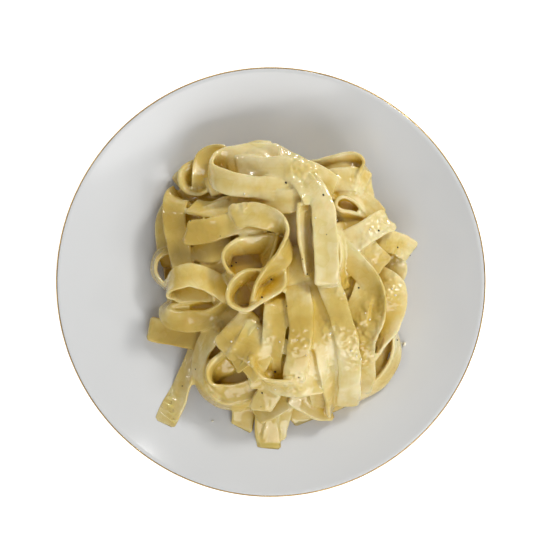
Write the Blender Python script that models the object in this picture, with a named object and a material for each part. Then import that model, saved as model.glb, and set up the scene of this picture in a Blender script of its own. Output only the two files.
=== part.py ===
"""Fettuccine alfredo on a shallow porcelain coupe plate with a gilt line at its lip.

Units are metres, +Z is up, and the origin is the centre of the foot ring's underside.
The front of the dish faces -Y. The noodles are one solid: bowed and turned ribbons, laid over a
low core and joined into a single body that rests on the plate.
"""

import math

import bmesh
import bpy
import numpy as np
from mathutils import Vector

MM = 0.001

# Plate
PLATE_RADIUS = 100 * MM
RIM_HEIGHT = 21 * MM
WELL_RADIUS = 50 * MM  # the flat floor ends here and the side starts to rise
WELL_TOP = 6 * MM
SIDE_RISE = 1.6  # exponent of the side's rise: 1 is a cone, 2 a bowl
PLATE_THICKNESS = 3.4 * MM
LIP_THICKNESS = 2.6 * MM
FOOT_RADIUS = 56 * MM
FOOT_WIDTH = 4 * MM
PLATE_SEGMENTS = 64

# Noodles
NOODLE_WIDTH = 11 * MM
NOODLE_SOLID = 3.4 * MM  # a noodle with its coat of sauce, thick enough to join its neighbours
REST_GAP = 0.3 * MM
ROW_SPACING = 3.5 * MM
VOXEL = 2.1 * MM
HEAP_TRIANGLES = 6000

# Core of the heap, under the ribbons
CORE_CENTRE = (1 * MM, -2 * MM)
CORE_HALF_SIZE = (47 * MM, 52 * MM)
CORE_TOP = 29 * MM
CORE_RINGS = 10
CORE_SEGMENTS = 40

# A noodle that bows from one point to another, in mm: start, end, how far its middle stands out to
# the left, heights at its start, middle and end, and its roll in degrees. A roll of 0 lies flat, and
# one of 90 stands on its edge with the left edge up.
BOWS = {
    # the crown
    "crest": ((15, 49), (26.5, -2), 3, (38, 47, 45), 0),
    "centre_hook": ((-18.5, 29), (-2, -3), 17.6, (42, 45, 42), 10),
    "left_band": ((-39, 22.8), (0, 27), -1, (34, 38, 36), 0),
    "upper_turn": ((14, 40), (-20, 46), 1.8, (38, 41, 37), -15),
    "upper_back": ((-18, 58.5), (9, 54), 1, (33, 34, 34), -10),
    "back_ridge": ((-14, 50), (31, 40), 6.2, (38, 44, 36), 0),
    "bridge": ((-12, 37), (20, 34), 0, (36, 42, 42), 0),
    "middle": ((12, 0), (9, -47), 3, (36, 43, 34), 0),
    "middle_left": ((3, -2), (2, -45), 0.5, (33, 40, 29), 0),
    "long_slope": ((25, 6), (35.5, -59), 4.2, (41, 41, 15), 0),
    "inner_slope": ((20, 3), (29, -58), 0, (38, 38, 16), 0),
    "right_sweep": ((30, 26), (41, -49), 12.6, (38, 39, 20), -8),
    "front_band": ((-13, -33), (21.5, -46), -7.5, (32, 34, 30), -15),
    "eye_wall": ((3, 24), (-7, 1), 0, (36, 38, 35), -45),
    "slit_wall": ((16.5, 36), (19, 2), -1.5, (42, 42, 35), -58),
    "torn_upper": ((-7, -13), (-21, -32), 0, (34, 36, 32), 3),
    "torn_middle": ((-6, -17), (-17, -38), 0, (35, 36, 32), 0),
    "torn_lower": ((-5, -30), (-12, -43), 0, (35, 36, 32), -5),
    # the left
    "left_gutter": ((-42, 37), (-39, -3), -3.3, (21, 27, 23), 3),
    "left_under": ((-44, 37), (-47, 6), -6, (13, 13, 11), 25),
    "far_drop": ((-22, 63), (-34, 44), -4.2, (24, 25, 15), -12),
    "under_band": ((-38, 14), (-17, 11), 0.5, (25, 29, 28), 0),
    "under_slope": ((-30, 16), (-21, -9), 0, (27, 29, 26), 3),
    "leaf": ((-37, 36), (-2, 33), 1, (27, 34, 37), 5),
    # the back
    "back_edge": ((-27, 60), (17, 52.5), 3, (24, 29, 27), -10),
    "back_loop": ((16, 50), (41, 57.5), 1, (25, 29, 30), 40),
    "back_corner": ((42, 57), (49, 28), -1.5, (30, 29, 26), 60),
    "back_shelf": ((22, 44), (44, 46), 1.5, (33, 36, 30), 0),
    "back_step": ((27, 52), (41, 49), 0, (29, 31, 30), -10),
    # the right
    "right_knot": ((30, 27), (33, -4), 1.7, (38, 40, 36), -65),
    "right_shelf": ((31, 18), (58, 28), -1.5, (36, 40, 30), -3),
    "right_end": ((49, 20), (67, 15), 0.5, (32, 27, 18), 0),
    "right_low": ((43, 15), (56, 5), 0, (34, 34, 28), 0),
    "inner_fold": ((47, 2), (38, -18), -1.1, (35, 37, 36), 5),
    "right_knob": ((47, 5), (42, -36), 12.1, (27, 30, 22), -30),
    "right_ring": ((50, -14), (27, -59), 18, (20, 18, 11), 58),
    # the front, and the ends that lie on the plate
    "ring_outer": ((-24, -21), (-6, -55), -20, (23, 18, 14), 65),
    "ring_inner": ((-16, -31), (-4, -46), -19, (24, 23, 24), 75),
    "low_left_end": ((-57, -22), (-29, -26), 0, (11, 13, 16), 3),
    "loose_end": ((-31, -27), (-50.5, -67), -0.7, (15, 9, 8), 0),
    "tongue": ((3, -46), (-5.5, -60), 0, (27, 27, 23), 0),
    "front_end": ((7, -47), (-0.8, -78.5), -1, (20, 15, 9), 0),
    "front_stub": ((-10, -52), (-14.5, -69.5), 0, (12, 10, 9), 0),
    "front_right": ((6, -47), (30, -59), -1.5, (24, 19, 12), 0),
    "base_front": ((2, -58), (38, -53), -4, (8, 8, 8), 0),
}

# A noodle that turns back on itself, in mm: centre, half sizes in x and y, where it starts and how
# far it turns in degrees, height at its start and end, and roll at its start and end.
TURNS = {
    "centre_loop": ((-11.5, -3.5), (8, 7.5), 10, -290, (41, 34), (45, 60)),
    "eye_ring": ((-9.5, 8), (11.5, 11), 45, 180, (34, 32), (-55, -65)),
    "upper_fold": ((-18, 52), (10, 6.5), -90, -180, (38, 33), (-30, -40)),
    "mouth_upper": ((-33, -3), (13.5, 7), 60, 230, (30, 29), (35, 110)),
    "mouth_lower": ((-35, -12), (15.5, 6), 100, 225, (20, 25), (80, 45)),
    "side_ring": ((-45.5, 6.5), (9.3, 10), 120, 160, (15, 15), (72, 78)),
    "far_cup": ((-31, 51), (12, 10), 75, 235, (20, 20), (-15, -60)),
    "little_eye": ((38, 35.5), (9.5, 4), -10, 340, (31, 32), (40, 50)),
}


def clear_scene():
    for obj in list(bpy.data.objects):
        bpy.data.objects.remove(obj, do_unlink=True)


def material(name, colour, roughness):
    made = bpy.data.materials.new(name)
    made.use_nodes = True
    shader = made.node_tree.nodes["Principled BSDF"]
    shader.inputs["Base Color"].default_value = (*colour, 1)
    shader.inputs["Roughness"].default_value = roughness
    shader.inputs["Metallic"].default_value = 0.0
    return made


def plate_top(radius):
    """Height of the plate's upper face: a flat well, then a side that steepens towards the lip."""
    share = np.clip((radius - WELL_RADIUS) / (PLATE_RADIUS - WELL_RADIUS), 0, 1)
    return WELL_TOP + (RIM_HEIGHT - WELL_TOP) * share**SIDE_RISE


def plate_profile():
    """(radius, height) of the plate's section, from the centre of its upper face round to its underside."""
    upper_steps, lower_steps, lip_steps = 9, 5, 6
    lip_start = PLATE_RADIUS - LIP_THICKNESS / 2
    radii = np.linspace(WELL_RADIUS, lip_start, upper_steps)
    profile = [(0.0, WELL_TOP)]
    profile += [(r, float(plate_top(r))) for r in radii]
    lip_centre = (lip_start, float(plate_top(lip_start)) - LIP_THICKNESS / 2)
    for turn in np.linspace(math.radians(60), math.radians(-90), lip_steps):
        profile.append((
            lip_centre[0] + LIP_THICKNESS / 2 * math.cos(turn),
            lip_centre[1] + LIP_THICKNESS / 2 * math.sin(turn),
        ))
    foot_outside = FOOT_RADIUS + FOOT_WIDTH / 2
    foot_inside = FOOT_RADIUS - FOOT_WIDTH / 2
    for r in np.linspace(lip_start - 6 * MM, foot_outside + 3 * MM, lower_steps):
        profile.append((r, float(plate_top(r)) - PLATE_THICKNESS))
    base = WELL_TOP - PLATE_THICKNESS
    profile += [
        (foot_outside + 0.6 * MM, base),
        (foot_outside, 0.5 * MM),
        (foot_outside - 0.5 * MM, 0.0),
        (foot_inside + 0.5 * MM, 0.0),
        (foot_inside, 0.5 * MM),
        (foot_inside - 0.6 * MM, base),
        (0.0, base),
    ]
    return profile


def lathe(name, profile, segments):
    """A closed solid of revolution about Z, from a section whose two ends lie on the axis."""
    bm = bmesh.new()
    rings = []
    for radius, height in profile:
        if radius == 0:
            rings.append([bm.verts.new((0, 0, height))])
            continue
        turns = [2 * math.pi * i / segments for i in range(segments)]
        rings.append([bm.verts.new((radius * math.cos(t), radius * math.sin(t), height)) for t in turns])
    for inner, outer in zip(rings, rings[1:]):
        for i in range(segments):
            j = (i + 1) % segments
            if len(inner) == 1:
                bm.faces.new((inner[0], outer[i], outer[j]))
            elif len(outer) == 1:
                bm.faces.new((inner[j], inner[i], outer[0]))
            else:
                bm.faces.new((inner[i], outer[i], outer[j], inner[j]))
    bmesh.ops.recalc_face_normals(bm, faces=bm.faces)
    mesh = bpy.data.meshes.new(name)
    bm.to_mesh(mesh)
    bm.free()
    return mesh


def bow(start, end, stand_out, heights, roll):
    """A noodle's rows of x, y, z in metres and roll in radians, from its line in BOWS."""
    start, end = np.array(start), np.array(end)
    chord = end - start
    length = float(np.linalg.norm(chord)) + 2 * abs(stand_out)
    t = np.linspace(0, 1, 2 + round(length * MM / ROW_SPACING))[:, None]
    left = np.array((-chord[1], chord[0])) / np.linalg.norm(chord)
    plan = start + t * chord + 4 * t * (1 - t) * stand_out * left
    rise = heights[1] - (heights[0] + heights[2]) / 2
    height = heights[0] + t * (heights[2] - heights[0]) + 4 * t * (1 - t) * rise
    return np.hstack([plan * MM, height * MM, np.full_like(t, math.radians(roll))])


def turn(centre, half_size, start, sweep, heights, rolls):
    """A noodle's rows of x, y, z in metres and roll in radians, from its line in TURNS."""
    length = math.radians(abs(sweep)) * sum(half_size) / 2
    t = np.linspace(0, 1, 2 + round(length * MM / ROW_SPACING))
    angle = np.radians(start + sweep * t)
    return np.column_stack([
        (centre[0] + half_size[0] * np.cos(angle)) * MM,
        (centre[1] + half_size[1] * np.sin(angle)) * MM,
        (heights[0] + (heights[1] - heights[0]) * t) * MM,
        np.radians(rolls[0] + (rolls[1] - rolls[0]) * t),
    ])


def ribbon(bm, rows):
    """Adds one noodle to bm: a closed band of rectangular section that rolls as it goes."""
    lowest = plate_top(np.hypot(rows[:, 0], rows[:, 1])) + REST_GAP + NOODLE_SOLID / 2
    rows[:, 2] = np.maximum(rows[:, 2], lowest)
    along = np.gradient(rows[:, :3], axis=0)
    rings = []
    for row, step in zip(rows, along):
        tangent = Vector(step).normalized()
        left = Vector((0, 0, 1)).cross(tangent).normalized()
        up = tangent.cross(left)
        side = math.cos(row[3]) * left + math.sin(row[3]) * up
        face = math.cos(row[3]) * up - math.sin(row[3]) * left
        centre = Vector(row[:3])
        corners = ((1, 1), (1, -1), (-1, -1), (-1, 1))
        rings.append([
            bm.verts.new(centre + a * NOODLE_WIDTH / 2 * side + b * NOODLE_SOLID / 2 * face) for a, b in corners
        ])
    for first, second in zip(rings, rings[1:]):
        for i in range(4):
            bm.faces.new((first[i], second[i], second[(i + 1) % 4], first[(i + 1) % 4]))
    bm.faces.new(rings[0])
    bm.faces.new(list(reversed(rings[-1])))


def core(bm):
    """Adds the heap's core to bm: a low uneven dome that the ribbons lie on."""
    floor = WELL_TOP + REST_GAP
    top = bm.verts.new((CORE_CENTRE[0], CORE_CENTRE[1], CORE_TOP))
    rings = []
    for k in range(1, CORE_RINGS + 1):
        lift = math.cos(k / CORE_RINGS * math.pi / 2)
        ring = []
        for i in range(CORE_SEGMENTS):
            turn = 2 * math.pi * i / CORE_SEGMENTS
            reach = math.sqrt(1 - lift**2) * (1 + 0.05 * math.sin(3 * turn + 1) + 0.03 * math.sin(5 * turn))
            ring.append(bm.verts.new((
                CORE_CENTRE[0] + CORE_HALF_SIZE[0] * reach * math.cos(turn),
                CORE_CENTRE[1] + CORE_HALF_SIZE[1] * reach * math.sin(turn),
                floor + (CORE_TOP - floor) * lift,
            )))
        rings.append(ring)
    for i in range(CORE_SEGMENTS):
        j = (i + 1) % CORE_SEGMENTS
        bm.faces.new((top, rings[0][i], rings[0][j]))
        for inner, outer in zip(rings, rings[1:]):
            bm.faces.new((inner[i], outer[i], outer[j], inner[j]))
    bm.faces.new(list(reversed(rings[-1])))


def evaluated_mesh(obj):
    graph = bpy.context.evaluated_depsgraph_get()
    return bpy.data.meshes.new_from_object(obj.evaluated_get(graph))


def outer_shell(bm):
    """Deletes all but the largest connected surface, which drops the closed pockets between ribbons."""
    left, shells = set(bm.verts), []
    while left:
        start = left.pop()
        shell, queue = {start}, [start]
        while queue:
            for edge in queue.pop().link_edges:
                for vert in edge.verts:
                    if vert in left:
                        left.discard(vert)
                        shell.add(vert)
                        queue.append(vert)
        shells.append(shell)
    keep = max(shells, key=len)
    bmesh.ops.delete(bm, geom=[v for v in bm.verts if v not in keep], context="VERTS")


def fused(name, mesh):
    """One closed skin over every ribbon and the core, thinned to HEAP_TRIANGLES."""
    obj = bpy.data.objects.new(name, mesh)
    bpy.context.scene.collection.objects.link(obj)
    remesh = obj.modifiers.new("Remesh", "REMESH")
    remesh.mode = "VOXEL"
    remesh.voxel_size = VOXEL
    skin = evaluated_mesh(obj)
    obj.modifiers.clear()
    bm = bmesh.new()
    bm.from_mesh(skin)
    outer_shell(bm)
    bmesh.ops.smooth_vert(bm, verts=bm.verts, factor=0.5, use_axis_x=True, use_axis_y=True, use_axis_z=True)
    bmesh.ops.triangulate(bm, faces=bm.faces)
    bm.to_mesh(skin)
    bm.free()
    obj.data = skin
    thin = obj.modifiers.new("Decimate", "DECIMATE")
    thin.ratio = HEAP_TRIANGLES / len(skin.polygons)
    return obj, evaluated_mesh(obj)


def settle_on_plate(mesh):
    """Lifts whatever would reach into the plate to just above it."""
    for vert in mesh.vertices:
        floor = float(plate_top(math.hypot(vert.co.x, vert.co.y))) + REST_GAP
        vert.co.z = max(vert.co.z, floor)


def make_plate():
    obj = bpy.data.objects.new("plate", lathe("plate", plate_profile(), PLATE_SEGMENTS))
    bpy.context.scene.collection.objects.link(obj)
    obj.data.shade_smooth()
    obj.data.set_sharp_from_angle(angle=math.radians(50))
    obj.data.materials.append(material("porcelain", (0.86, 0.86, 0.84), 0.12))


def make_fettuccine():
    bm = bmesh.new()
    core(bm)
    for line in BOWS.values():
        ribbon(bm, bow(*line))
    for line in TURNS.values():
        ribbon(bm, turn(*line))
    bmesh.ops.recalc_face_normals(bm, faces=bm.faces)
    mesh = bpy.data.meshes.new("ribbons")
    bm.to_mesh(mesh)
    bm.free()
    obj, skin = fused("fettuccine", mesh)
    obj.modifiers.clear()
    obj.data = skin
    settle_on_plate(obj.data)
    obj.data.shade_smooth()
    obj.data.set_sharp_from_angle(angle=math.radians(60))
    obj.data.materials.append(material("pasta", (0.83, 0.68, 0.36), 0.35))


clear_scene()
make_plate()
make_fettuccine()
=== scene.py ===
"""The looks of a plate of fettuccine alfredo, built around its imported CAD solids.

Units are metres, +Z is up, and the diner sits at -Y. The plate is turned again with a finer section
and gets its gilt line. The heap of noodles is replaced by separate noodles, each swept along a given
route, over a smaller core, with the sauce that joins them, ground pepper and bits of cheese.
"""

import math
import random

import bmesh
import bpy
import numpy as np
from mathutils import Euler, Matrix, Vector, kdtree, noise
from mathutils.bvhtree import BVHTree


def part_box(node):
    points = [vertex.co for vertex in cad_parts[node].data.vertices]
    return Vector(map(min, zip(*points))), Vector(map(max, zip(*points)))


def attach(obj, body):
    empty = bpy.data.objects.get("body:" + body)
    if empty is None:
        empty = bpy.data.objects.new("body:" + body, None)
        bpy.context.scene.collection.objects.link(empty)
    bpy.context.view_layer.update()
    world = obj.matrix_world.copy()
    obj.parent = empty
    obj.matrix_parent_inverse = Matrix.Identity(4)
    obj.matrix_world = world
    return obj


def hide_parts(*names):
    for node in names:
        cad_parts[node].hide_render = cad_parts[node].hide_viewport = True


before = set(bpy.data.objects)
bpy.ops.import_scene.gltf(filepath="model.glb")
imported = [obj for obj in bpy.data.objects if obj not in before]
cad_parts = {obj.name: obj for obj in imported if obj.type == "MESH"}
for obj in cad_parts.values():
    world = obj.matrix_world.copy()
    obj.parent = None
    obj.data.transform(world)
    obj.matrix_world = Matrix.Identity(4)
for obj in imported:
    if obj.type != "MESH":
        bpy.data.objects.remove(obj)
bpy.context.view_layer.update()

MM = 0.001
HEAP_LOW, HEAP_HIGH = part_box("fettuccine")
HEAP_MIDDLE = (HEAP_LOW[0] + HEAP_HIGH[0]) / 2

# Plate, as in the CAD
PLATE_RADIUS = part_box("plate")[1][0]
WELL_RADIUS = 50 * MM
WELL_TOP = 6 * MM
RIM_HEIGHT = 21 * MM
SIDE_RISE = 1.6
PLATE_THICKNESS = 3.4 * MM
LIP_THICKNESS = 2.6 * MM
LIP_START = PLATE_RADIUS - LIP_THICKNESS / 2
FOOT_RADIUS = 56 * MM
FOOT_WIDTH = 4 * MM
FOOT_OUTSIDE = FOOT_RADIUS + FOOT_WIDTH / 2
FOOT_INSIDE = FOOT_RADIUS - FOOT_WIDTH / 2
PLATE_BASE = WELL_TOP - PLATE_THICKNESS

# The finer section
PLATE_SEGMENTS = 256
SIDE_STEPS = 40
LIP_STEPS = 14
UNDER_STEPS = 20
GILT_SKIN = 0.04 * MM  # how far the gilt line stands off the lip
GILT_ARC = (0, 66)  # degrees round the lip's edge that it covers
GILT_STEPS = 9
GILT_UNDER = (0.02 * MM, 0.08 * MM)  # how far inward and down its hidden underside lies

# Noodles
NOODLE_WIDTH = 11 * MM
NOODLE_THICKNESS = 1.8 * MM
EDGE_THINNING = 0.12  # how much thinner a noodle is at its edges, as a share
FACE_POINTS = 9  # points across each face of its section
FACE_SHARE = 0.9  # share of its width before the edges round off
END_RADIUS = (1.2 * MM, 3.2 * MM)  # least and most rounding of a noodle's cut corners
END_SKEW = 1.6 * MM
SKEW_REACH = 5 * MM  # how soon the skew of a cut end fades along the noodle
END_TAPER = 0.9 * MM
END_PALENESS = 3 * MM  # how far from its ends a noodle is as pale as at its edges; the pale edges are partly a painted highlight
ROW_SPACING = 0.85 * MM
CURVE_STEPS = 24  # steps of a route's curve between two of its points
ROUTE_PASSES = 6  # times that a route is smoothed
REST_GAP = 0.15 * MM

# How a noodle wanders along its length: how much, and over what length
ROLL_WANDER = (math.radians(5), 26 * MM)
WIDTH_WANDER = (0.08, 20 * MM)  # as a share of the width
CUP_WANDER = (0.9 * MM, 24 * MM)
EDGE_WANDER = (0.45 * MM, 8 * MM)
RIPPLE = (0.35 * MM, 10 * MM)
CUP_MOST = 0.6 * MM  # the most that a whole noodle is cupped besides

# The core
CORE_CENTRE = np.array((1 * MM, -2 * MM))
CORE_HALF = np.array((46 * MM, 52 * MM))
CORE_TOP = 28 * MM
CORE_RINGS = 40
CORE_SEGMENTS = 120
CORE_BUMPS = 2.2 * MM
CORE_BUMP_SCALE = 90  # bumps in a metre, or so

# Sauce
SAUCE_VOXEL = 0.8 * MM
SMOOTH_PASSES = 3
SMOOTH_FACTOR = 0.6
SAUCE_FILM = 0.08 * MM
CREASE_FILL = 0.3 * MM
SAUCE_UNEVEN = 0.5 * MM
FILM_REACH = (0.25 * MM, 0.6 * MM)  # sauce this near a noodle is drawn onto it, fully and not at all
# Waves in the sauce's thickness: share of SAUCE_UNEVEN everywhere, more where the noodles are torn and
# where the sauce is lumpy, and how many waves go in a metre, or so
SAUCE_WAVES = [(0.7, 3.5, 0, 90), (0, 2.4, 0, 240), (0.25, 0, 0, 260), (0, 0, 1.4, 310)]
# Where the noodles are torn up and clotted with sauce, in mm: x, y and reach
TORN = (-14, -32, 13)

# Colours from the golden folds to the thick cream, and the painted shade of the deep creases; the golden of
# the folds is partly painted shade too
NOODLE_COLOURS = ((0.59, 0.395, 0.07), (0.71, 0.51, 0.12), (0.86, 0.73, 0.34), (0.66, 0.42, 0.02))
SAUCE_COLOURS = ((0.61, 0.415, 0.08), (0.74, 0.55, 0.15), (0.90, 0.77, 0.41), (0.67, 0.43, 0.02))
NOODLE_ROUGHNESS = 0.24
SAUCE_ROUGHNESS = 0.22
PEPPER_COLOUR = (0.025, 0.015, 0.01)
CHEESE_COLOUR = (0.93, 0.87, 0.68)

# The camera and the lamps. A lamp shines at the origin: its name, place, size, power in watts and colour
CAMERA_HEIGHT = RIM_HEIGHT + 800 * MM
CAMERA_OFFSET = (-0.4 * MM, 5.6 * MM)
VIEW_WIDTH = 250.7 * MM  # what the camera takes in at the height of the rim
SENSOR_WIDTH = 36  # in millimetres, as Blender counts it
DAYLIGHT = 0.285
WHITE = (1.0, 1.0, 1.0)
LAMPS = [
    ("key", (0.6, 0.79, 0.77), (0.26, 0.18), 6.3, (1.0, 0.99, 0.97)),
    ("front", (0.35, -0.98, 0.95), (1.3, 0.8), 9.5, WHITE),
    ("sheen", (0.35, -0.35, 1.1), (0.02, 0.12), 0.13, WHITE),
    ("front_strip", (0.6, -0.76, 0.86), (0.16, 0.025), 0.6, WHITE),
    ("back_window", (0.18, 0.87, 0.95), (0.07, 0.07), 0.5, WHITE),
    ("high_window", (0.5, 0.66, 0.95), (0.05, 0.07), 0.5, WHITE),
    ("left_window", (-0.85, 0.25, 0.6), (0.06, 0.06), 0.35, WHITE),
    ("right_window", (0.9, 0.15, 0.6), (0.06, 0.06), 0.35, WHITE),
]

# The noodles' routes, in mm: x, y and z of the centre line, then the roll in degrees, which lifts the
# left edge as seen along the noodle. A noodle lies flat at 0, stands on its edge at 90 and is turned
# face down at 180, so a roll that passes 90 where the route turns back is a fold.
CROWN = {
    "crest": [(14, 48, 40, 0), (18, 43.5, 44, 0), (21.3, 38.5, 46, 0), (23.4, 33, 46.8, 0),
              (24.2, 26, 47, 0), (24.6, 17, 47, 0), (25, 8, 46.3, 0), (25.2, -1.5, 44.5, 0)],
    "centre_curl": [(-18, 29.8, 41.5, 0), (-12, 30.6, 43, 2), (-6, 30.2, 44, 6), (0, 28.5, 44.8, 20),
                    (3.5, 26.3, 45, 45), (6.5, 23, 45, 75), (7.2, 17.8, 44.8, 105), (5.8, 11.9, 44.3, 130),
                    (3.6, 8.8, 43.5, 132), (-1.8, 3.9, 42, 108), (-5.2, -0.4, 40, 98), (-7.3, -5.4, 37, 92),
                    (-8.5, -9, 33, 90)],
    "centre_ring": [(1, 6.5, 34, 118), (-4.7, 3.7, 37.5, 112), (-10.5, 3.2, 38.5, 112),
                    (-15.9, -0.6, 38.5, 110), (-18.2, -5.7, 38.5, 106), (-17.3, -9.6, 38.3, 98),
                    (-13, -12.3, 38, 90), (-9.5, -11.6, 38, 95), (-4.8, -6.8, 37.5, 112),
                    (0, -3.5, 37.5, 125), (3.3, -0.5, 37.5, 130), (3.8, 3, 37, 122), (4, 7, 34, 118)],
    "eye_ring": [(7, 15, 33, 125), (1, 17.5, 35.5, 138), (-6, 17, 36.5, 142), (-13, 16.5, 37, 135),
                 (-18.6, 14.3, 37.3, 115), (-20.3, 11, 37.3, 105), (-19.9, 6.5, 37, 90),
                 (-18.3, 2.5, 36, 68), (-14.5, -1.5, 33.5, 60)],
    "eye_wall": [(1.6, 22, 37, 60), (1.4, 20, 37.3, 70), (0.2, 15.2, 37.3, 72), (-2, 10.6, 36.5, 70),
                 (-3.6, 6.8, 35, 65)],
    "left_band": [(-39.2, 22.8, 34, 8), (-34, 22.8, 35.5, 10), (-30, 23.2, 36.5, 12), (-24, 24.7, 38, 12),
                  (-18, 26.5, 39, 8), (-12, 28, 39.3, 0), (0, 28, 37, 0)],
    "upper_turn": [(16, 40.5, 39.5, 0), (8, 41.2, 41, -6), (-1, 42.3, 41.5, -8), (-10, 43.3, 41, -8),
                   (-18, 44.8, 40, -10), (-24, 47, 38, -25), (-27.5, 50.3, 35, -70), (-27, 54, 32, -110),
                   (-22.5, 56.2, 31, -150), (-15, 57.3, 32, -165), (-6, 58.3, 33, -170),
                   (4, 57.5, 33, -175)],
    "back_ridge": [(-16, 53, 32.5, 8), (-8, 52, 36.5, 5), (0, 51.6, 40.5, 5), (8, 51.3, 42.8, 3),
                   (16, 50, 43, 0), (23, 46.5, 41, -5), (29, 42, 37, -10)],
    "bridge": [(-13, 37, 35, 0), (-5, 37, 38.5, 0), (3, 36.5, 41.5, 0), (10, 37, 42.6, 0),
               (17, 38, 42.6, 0)],
    "pale_end": [(10, 52, 40, 0), (14, 46, 43, 0), (18, 40.5, 45.6, 0), (20, 36, 46, 0)],
    "middle": [(12.3, 1, 34, 0), (12.4, -3, 38.5, 0), (12.8, -8, 41.5, 0), (13.4, -15, 42.3, 0),
               (13.4, -23, 42, 0), (12.8, -31, 40.5, 0), (11.2, -38.5, 38, 0), (10.5, -45, 34.5, 0)],
    "middle_left": [(3.5, -3, 32, 0), (2.4, -7, 36.5, 0), (2.2, -12.5, 39, 0), (2, -20, 39.5, 3),
                    (1, -28, 38, 0), (-0.3, -35, 34.5, 0), (0, -42, 30.5, 0)],
    "long_slope": [(25.4, 5, 40.5, 0), (26.5, -2, 42.5, 0), (29.3, -9, 43, 0), (32, -17, 42.3, 0),
                   (34.5, -28, 39.5, 0), (36, -38, 34.5, 0), (36, -48, 27, -4), (35.4, -58, 16, -8)],
    "inner_slope": [(19.8, 2, 36, 0), (20.5, -6, 39, 0), (21.8, -15, 39.5, 0), (23.6, -25, 38.8, 4),
                    (25.8, -35, 35.5, 0), (27.6, -45, 29, -25), (28.6, -53, 22, -52),
                    (28.5, -60.5, 14, -70)],
    "slit_wall": [(15.5, 37, 43, -42), (14.6, 30, 42.5, -60), (14.8, 21, 41.5, -64), (16.5, 12, 39.5, -60),
                  (18.5, 5, 36.5, -50)],
    "front_band": [(-8.5, -32, 34.5, 112), (-6, -39.5, 34.6, 104), (-2, -44.6, 34.2, 78),
                   (4, -47.6, 33.8, 50), (11, -48.4, 33, 36), (18, -47.2, 31.5, 22), (25, -46, 29, 0)],
}

LEFT = {
    "mouth_upper": [(-19, -5, 29, 5), (-24, -1.5, 32, 8), (-30, 1.5, 34.5, 10), (-36.5, 3.2, 36, 10),
                    (-42, 2.2, 35.5, 25), (-45.8, -0.5, 33, 60), (-46.8, -3.2, 29.5, 95),
                    (-44.5, -4.2, 27, 135), (-39, -4.2, 26, 165), (-31, -4, 25.5, 172),
                    (-22, -3.4, 24.5, 175)],
    "mouth_lower": [(-28, -7, 21, 80), (-38, -9, 21, 78), (-46, -10, 21, 76), (-49.3, -13, 21.5, 60),
                    (-46.5, -16.8, 22.3, 35), (-40, -17.8, 23, 25), (-33, -17.6, 24, 22),
                    (-26.5, -15.5, 25.5, 30), (-21.5, -11.5, 25.5, 42), (-17.5, -5.5, 24.5, 50)],
    "left_gutter": [(-42.5, 39.5, 14, 5), (-43.4, 38.8, 20, 8), (-44.3, 36.6, 24.5, 15),
                    (-44.9, 32.5, 26.2, 22), (-44.2, 27.5, 26.5, 25), (-43, 21, 26.5, 25),
                    (-41.8, 14, 26, 22), (-40.3, 7, 25, 15), (-39, -1, 22, 5)],
    "left_under": [(-43, 37, 15, 20), (-47.5, 33, 15.5, 30), (-49.6, 26, 15.5, 30), (-48.7, 17, 14, 25),
                   (-46, 8, 12, 10)],
    "side_ring": [(-41, 16, 15, 72), (-48, 15.3, 15, 74), (-51, 14.3, 15, 75), (-53.4, 11.5, 15, 76),
                  (-54.4, 8.3, 15, 76), (-54.4, 5, 15, 76), (-53, 1.8, 15, 76), (-50.5, -1, 15, 76),
                  (-47.5, -2.8, 15.5, 75), (-40, -3, 16, 70)],
    "far_cup": [(-26, 54.5, 21, 130), (-33, 53.3, 21, 126), (-38.6, 50.8, 20.5, 120),
                (-39.6, 47.5, 20.5, 118), (-38.8, 44.8, 20.3, 118), (-36.6, 42.6, 20.3, 114),
                (-33, 41.5, 20.6, 105), (-29.5, 43.3, 21, 100), (-27, 46, 22, 95)],
    "far_drop": [(-20, 57, 27.5, -10), (-25.5, 58, 28, -12), (-29.6, 55.8, 27.5, -8), (-31, 50.5, 26, 0),
                 (-31, 44, 21, 0)],
    "under_band": [(-36, 17, 26, 0), (-31, 15, 28, 5), (-27, 14.6, 29.5, 5), (-23, 16, 30, 5),
                   (-18, 19, 31, 0)],
    "under_slope": [(-29, 15, 27, 0), (-25.5, 7, 28.5, 5), (-22.8, -2, 28.5, 5), (-21, -10, 26, 0)],
    "leaf": [(-37, 35, 29, -42), (-32.5, 33.9, 30.5, -50), (-26.5, 33.4, 32, -46), (-20, 34.4, 34, -30),
             (-12, 35.5, 36, -12), (-4, 33.5, 37, 0)],
    "leaf_under": [(-33, 29, 28.5, 0), (-29, 29.5, 30.5, 5), (-24, 31, 32.5, 0), (-17, 33, 34, 0)],
    "low_left_end": [(-57.5, -21.5, 11.5, 0), (-49, -23.5, 12.5, 5), (-39, -26, 14.5, 5),
                     (-30, -27, 16.5, 0), (-22, -26, 18, 0)],
    "loose_end": [(-30.5, -25, 16.5, 20), (-36, -35.5, 14, 48), (-40, -45, 12.3, 45),
                  (-44.6, -55.5, 10.6, 30), (-49.8, -66.5, 9.3, 15)],
}

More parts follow.
